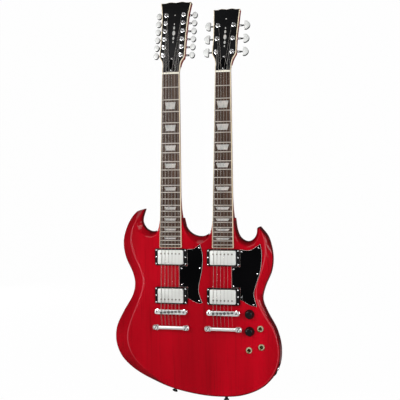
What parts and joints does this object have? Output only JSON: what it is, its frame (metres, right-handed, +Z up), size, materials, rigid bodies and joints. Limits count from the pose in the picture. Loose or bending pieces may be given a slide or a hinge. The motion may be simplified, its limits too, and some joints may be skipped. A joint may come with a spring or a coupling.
{
  "type": "double-neck electric guitar",
  "caption": "Solid-body electric guitar with two parallel necks, a wide twelve-string one and a six-string one, each with its own pickups, bridge and turning tuners.",
  "frame": {"origin": "outer end of the tail strap button, on the six-string neck's centre line and midway through the body's thickness", "axes": "+Z up along the necks, -Y towards the player's audience (the front), +X towards the six-string side as seen from the front"},
  "size_m": [0.4536, 0.106, 1.0644],
  "materials": {
    "body_wood": "deep cherry red, gloss lacquer",
    "neck_wood": "cherry red, gloss lacquer; black face on the heads",
    "rosewood": "dark, satin oil",
    "cream_binding": "cream",
    "fret_metal": "polished nickel silver",
    "pearl": "pearl",
    "nut_white": "bone white",
    "string_metal": "wound and plain steel",
    "chrome": "bright chrome",
    "nickel_cover": "nickel plated covers",
    "black_plastic": "black gloss",
    "rod_steel": "plain steel",
    "control_metal": "plated steel, pale gold nuts"
  },
  "bodies": {
    "guitar": {"body": "body_wood", "neck_12": "neck_wood", "neck_6": "neck_wood", "fingerboards": "rosewood", "board_bindings": "cream_binding", "frets": "fret_metal", "fret_markers": "pearl", "string_nuts": "nut_white", "truss_rods": "rod_steel", "tuner_housings": "chrome", "strings": "string_metal", "bridges": "chrome", "tailpieces": "chrome", "pickups": "nickel_cover", "pickup_rings": "black_plastic", "pickguards_and_covers": "black_plastic", "pots_and_switches": "control_metal", "output_jack": "chrome", "strap_buttons": "chrome"},
    "tuner_button_12_01": {"tuner_button_12_01": "chrome"},
    "string_post_12_01": {"string_post_12_01": "chrome"},
    "tuner_button_12_02": {"tuner_button_12_02": "chrome"},
    "string_post_12_02": {"string_post_12_02": "chrome"},
    "tuner_button_12_03": {"tuner_button_12_03": "chrome"},
    "string_post_12_03": {"string_post_12_03": "chrome"},
    "tuner_button_12_04": {"tuner_button_12_04": "chrome"},
    "string_post_12_04": {"string_post_12_04": "chrome"},
    "tuner_button_12_05": {"tuner_button_12_05": "chrome"},
    "string_post_12_05": {"string_post_12_05": "chrome"},
    "tuner_button_12_06": {"tuner_button_12_06": "chrome"},
    "string_post_12_06": {"string_post_12_06": "chrome"},
    "tuner_button_12_07": {"tuner_button_12_07": "chrome"},
    "string_post_12_07": {"string_post_12_07": "chrome"},
    "tuner_button_12_08": {"tuner_button_12_08": "chrome"},
    "string_post_12_08": {"string_post_12_08": "chrome"},
    "tuner_button_12_09": {"tuner_button_12_09": "chrome"},
    "string_post_12_09": {"string_post_12_09": "chrome"},
    "tuner_button_12_10": {"tuner_button_12_10": "chrome"},
    "string_post_12_10": {"string_post_12_10": "chrome"},
    "tuner_button_12_11": {"tuner_button_12_11": "chrome"},
    "string_post_12_11": {"string_post_12_11": "chrome"},
    "tuner_button_12_12": {"tuner_button_12_12": "chrome"},
    "string_post_12_12": {"string_post_12_12": "chrome"},
    "tuner_button_6_01": {"tuner_button_6_01": "chrome"},
    "string_post_6_01": {"string_post_6_01": "chrome"},
    "tuner_button_6_02": {"tuner_button_6_02": "chrome"},
    "string_post_6_02": {"string_post_6_02": "chrome"},
    "tuner_button_6_03": {"tuner_button_6_03": "chrome"},
    "string_post_6_03": {"string_post_6_03": "chrome"},
    "tuner_button_6_04": {"tuner_button_6_04": "chrome"},
    "string_post_6_04": {"string_post_6_04": "chrome"},
    "tuner_button_6_05": {"tuner_button_6_05": "chrome"},
    "string_post_6_05": {"string_post_6_05": "chrome"},
    "tuner_button_6_06": {"tuner_button_6_06": "chrome"},
    "string_post_6_06": {"string_post_6_06": "chrome"},
    "volume_knob": {"volume_knob": "black_plastic"},
    "tone_knob": {"tone_knob": "black_plastic"},
    "toggle_lever_neck_select": {"toggle_lever_neck_select": "control_metal"},
    "toggle_lever_pickup_12": {"toggle_lever_pickup_12": "control_metal"},
    "toggle_lever_pickup_6": {"toggle_lever_pickup_6": "control_metal"}
  },
  "joints": [
    {"name": "turn_button_12_01", "type": "hinge", "parent": "guitar", "child": "tuner_button_12_01", "pos_m": [-0.1935, 0.03052, 0.91667], "axis": [-1, 0, 0], "continuous": true},
    {"name": "turn_post_12_01", "type": "hinge", "parent": "guitar", "child": "string_post_12_01", "pos_m": [-0.1673, 0.01098, 0.91619], "axis": [0, -0.9588, 0.284], "continuous": true},
    {"name": "turn_button_12_02", "type": "hinge", "parent": "guitar", "child": "tuner_button_12_02", "pos_m": [-0.1935, 0.03711, 0.93891], "axis": [-1, 0, 0], "continuous": true},
    {"name": "turn_post_12_02", "type": "hinge", "parent": "guitar", "child": "string_post_12_02", "pos_m": [-0.1673, 0.01757, 0.93844], "axis": [0, -0.9588, 0.284], "continuous": true},
    {"name": "turn_button_12_03", "type": "hinge", "parent": "guitar", "child": "tuner_button_12_03", "pos_m": [-0.1935, 0.0437, 0.96115], "axis": [-1, 0, 0], "continuous": true},
    {"name": "turn_post_12_03", "type": "hinge", "parent": "guitar", "child": "string_post_12_03", "pos_m": [-0.1673, 0.02416, 0.96069], "axis": [0, -0.9588, 0.284], "continuous": true},
    {"name": "turn_button_12_04", "type": "hinge", "parent": "guitar", "child": "tuner_button_12_04", "pos_m": [-0.1935, 0.05029, 0.9834], "axis": [-1, 0, 0], "continuous": true},
    {"name": "turn_post_12_04", "type": "hinge", "parent": "guitar", "child": "string_post_12_04", "pos_m": [-0.1673, 0.03075, 0.98293], "axis": [0, -0.9588, 0.284], "continuous": true},
    {"name": "turn_button_12_05", "type": "hinge", "parent": "guitar", "child": "tuner_button_12_05", "pos_m": [-0.1935, 0.05688, 1.00564], "axis": [-1, 0, 0], "continuous": true},
    {"name": "turn_post_12_05", "type": "hinge", "parent": "guitar", "child": "string_post_12_05", "pos_m": [-0.1673, 0.03734, 1.00517], "axis": [0, -0.9588, 0.284], "continuous": true},
    {"name": "turn_button_12_06", "type": "hinge", "parent": "guitar", "child": "tuner_button_12_06", "pos_m": [-0.1935, 0.06346, 1.02789], "axis": [-1, 0, 0], "continuous": true},
    {"name": "turn_post_12_06", "type": "hinge", "parent": "guitar", "child": "string_post_12_06", "pos_m": [-0.1673, 0.04393, 1.02742], "axis": [0, -0.9588, 0.284], "continuous": true},
    {"name": "turn_button_12_07", "type": "hinge", "parent": "guitar", "child": "tuner_button_12_07", "pos_m": [-0.0925, 0.03052, 0.91667], "axis": [1, 0, 0], "continuous": true},
    {"name": "turn_post_12_07", "type": "hinge", "parent": "guitar", "child": "string_post_12_07", "pos_m": [-0.1187, 0.01098, 0.91619], "axis": [0, -0.9588, 0.284], "continuous": true},
    {"name": "turn_button_12_08", "type": "hinge", "parent": "guitar", "child": "tuner_button_12_08", "pos_m": [-0.0925, 0.03711, 0.93891], "axis": [1, 0, 0], "continuous": true},
    {"name": "turn_post_12_08", "type": "hinge", "parent": "guitar", "child": "string_post_12_08", "pos_m": [-0.1187, 0.01757, 0.93844], "axis": [0, -0.9588, 0.284], "continuous": true},
    {"name": "turn_button_12_09", "type": "hinge", "parent": "guitar", "child": "tuner_button_12_09", "pos_m": [-0.0925, 0.0437, 0.96115], "axis": [1, 0, 0], "continuous": true},
    {"name": "turn_post_12_09", "type": "hinge", "parent": "guitar", "child": "string_post_12_09", "pos_m": [-0.1187, 0.02416, 0.96069], "axis": [0, -0.9588, 0.284], "continuous": true},
    {"name": "turn_button_12_10", "type": "hinge", "parent": "guitar", "child": "tuner_button_12_10", "pos_m": [-0.0925, 0.05029, 0.9834], "axis": [1, 0, 0], "continuous": true},
    {"name": "turn_post_12_10", "type": "hinge", "parent": "guitar", "child": "string_post_12_10", "pos_m": [-0.1187, 0.03075, 0.98293], "axis": [0, -0.9588, 0.284], "continuous": true},
    {"name": "turn_button_12_11", "type": "hinge", "parent": "guitar", "child": "tuner_button_12_11", "pos_m": [-0.0925, 0.05688, 1.00564], "axis": [1, 0, 0], "continuous": true},
    {"name": "turn_post_12_11", "type": "hinge", "parent": "guitar", "child": "string_post_12_11", "pos_m": [-0.1187, 0.03734, 1.00517], "axis": [0, -0.9588, 0.284], "continuous": true},
    {"name": "turn_button_12_12", "type": "hinge", "parent": "guitar", "child": "tuner_button_12_12", "pos_m": [-0.0925, 0.06346, 1.02789], "axis": [1, 0, 0], "continuous": true},
    {"name": "turn_post_12_12", "type": "hinge", "parent": "guitar", "child": "string_post_12_12", "pos_m": [-0.1187, 0.04393, 1.02742], "axis": [0, -0.9588, 0.284], "continuous": true},
    {"name": "turn_button_6_01", "type": "hinge", "parent": "guitar", "child": "tuner_button_6_01", "pos_m": [-0.0495, 0.03166, 0.9205], "axis": [-1, 0, 0], "continuous": true},
    {"name": "turn_post_6_01", "type": "hinge", "parent": "guitar", "child": "string_post_6_01", "pos_m": [-0.0213, 0.01212, 0.92003], "axis": [0, -0.9588, 0.284], "continuous": true},
    {"name": "turn_button_6_02", "type": "hinge", "parent": "guitar", "child": "tuner_button_6_02", "pos_m": [-0.0495, 0.04231, 0.95646], "axis": [-1, 0, 0], "continuous": true},
    {"name": "turn_post_6_02", "type": "hinge", "parent": "guitar", "child": "string_post_6_02", "pos_m": [-0.0213, 0.02277, 0.95599], "axis": [0, -0.9588, 0.284], "continuous": true},
    {"name": "turn_button_6_03", "type": "hinge", "parent": "guitar", "child": "tuner_button_6_03", "pos_m": [-0.0495, 0.05296, 0.99241], "axis": [-1, 0, 0], "continuous": true},
    {"name": "turn_post_6_03", "type": "hinge", "parent": "guitar", "child": "string_post_6_03", "pos_m": [-0.0213, 0.03342, 0.99194], "axis": [0, -0.9588, 0.284], "continuous": true},
    {"name": "turn_button_6_04", "type": "hinge", "parent": "guitar", "child": "tuner_button_6_04", "pos_m": [0.0495, 0.03166, 0.9205], "axis": [1, 0, 0], "continuous": true},
    {"name": "turn_post_6_04", "type": "hinge", "parent": "guitar", "child": "string_post_6_04", "pos_m": [0.0213, 0.01212, 0.92003], "axis": [0, -0.9588, 0.284], "continuous": true},
    {"name": "turn_button_6_05", "type": "hinge", "parent": "guitar", "child": "tuner_button_6_05", "pos_m": [0.0495, 0.04231, 0.95646], "axis": [1, 0, 0], "continuous": true},
    {"name": "turn_post_6_05", "type": "hinge", "parent": "guitar", "child": "string_post_6_05", "pos_m": [0.0213, 0.02277, 0.95599], "axis": [0, -0.9588, 0.284], "continuous": true},
    {"name": "turn_button_6_06", "type": "hinge", "parent": "guitar", "child": "tuner_button_6_06", "pos_m": [0.0495, 0.05296, 0.99241], "axis": [1, 0, 0], "continuous": true},
    {"name": "turn_post_6_06", "type": "hinge", "parent": "guitar", "child": "string_post_6_06", "pos_m": [0.0213, 0.03342, 0.99194], "axis": [0, -0.9588, 0.284], "continuous": true},
    {"name": "turn_volume_knob", "type": "hinge", "parent": "guitar", "child": "volume_knob", "pos_m": [0.06901, -0.018, 0.23202], "axis": [0, -1, 0], "range_deg": [0, 300]},
    {"name": "turn_tone_knob", "type": "hinge", "parent": "guitar", "child": "tone_knob", "pos_m": [0.06901, -0.018, 0.18699], "axis": [0, -1, 0], "range_deg": [0, 300]},
    {"name": "tilt_toggle_lever_neck_select", "type": "hinge", "parent": "guitar", "child": "toggle_lever_neck_select", "pos_m": [0.09748, -0.013, 0.19499], "axis": [-1, 0, 0], "range_deg": [0, 24]},
    {"name": "tilt_toggle_lever_pickup_12", "type": "hinge", "parent": "guitar", "child": "toggle_lever_pickup_12", "pos_m": [0.09999, -0.013, 0.14698], "axis": [-1, 0, 0], "range_deg": [0, 24]},
    {"name": "tilt_toggle_lever_pickup_6", "type": "hinge", "parent": "guitar", "child": "toggle_lever_pickup_6", "pos_m": [0.067, -0.013, 0.13798], "axis": [-1, 0, 0], "range_deg": [0, 24]}
  ],
  "couplings": [
    {"joint": "turn_post_12_01", "follows": "turn_button_12_01", "ratio": 0.066667},
    {"joint": "turn_post_12_02", "follows": "turn_button_12_02", "ratio": 0.066667},
    {"joint": "turn_post_12_03", "follows": "turn_button_12_03", "ratio": 0.066667},
    {"joint": "turn_post_12_04", "follows": "turn_button_12_04", "ratio": 0.066667},
    {"joint": "turn_post_12_05", "follows": "turn_button_12_05", "ratio": 0.066667},
    {"joint": "turn_post_12_06", "follows": "turn_button_12_06", "ratio": 0.066667},
    {"joint": "turn_post_12_07", "follows": "turn_button_12_07", "ratio": -0.066667},
    {"joint": "turn_post_12_08", "follows": "turn_button_12_08", "ratio": -0.066667},
    {"joint": "turn_post_12_09", "follows": "turn_button_12_09", "ratio": -0.066667},
    {"joint": "turn_post_12_10", "follows": "turn_button_12_10", "ratio": -0.066667},
    {"joint": "turn_post_12_11", "follows": "turn_button_12_11", "ratio": -0.066667},
    {"joint": "turn_post_12_12", "follows": "turn_button_12_12", "ratio": -0.066667},
    {"joint": "turn_post_6_01", "follows": "turn_button_6_01", "ratio": 0.071429},
    {"joint": "turn_post_6_02", "follows": "turn_button_6_02", "ratio": 0.071429},
    {"joint": "turn_post_6_03", "follows": "turn_button_6_03", "ratio": 0.071429},
    {"joint": "turn_post_6_04", "follows": "turn_button_6_04", "ratio": -0.071429},
    {"joint": "turn_post_6_05", "follows": "turn_button_6_05", "ratio": -0.071429},
    {"joint": "turn_post_6_06", "follows": "turn_button_6_06", "ratio": -0.071429}
  ]
}
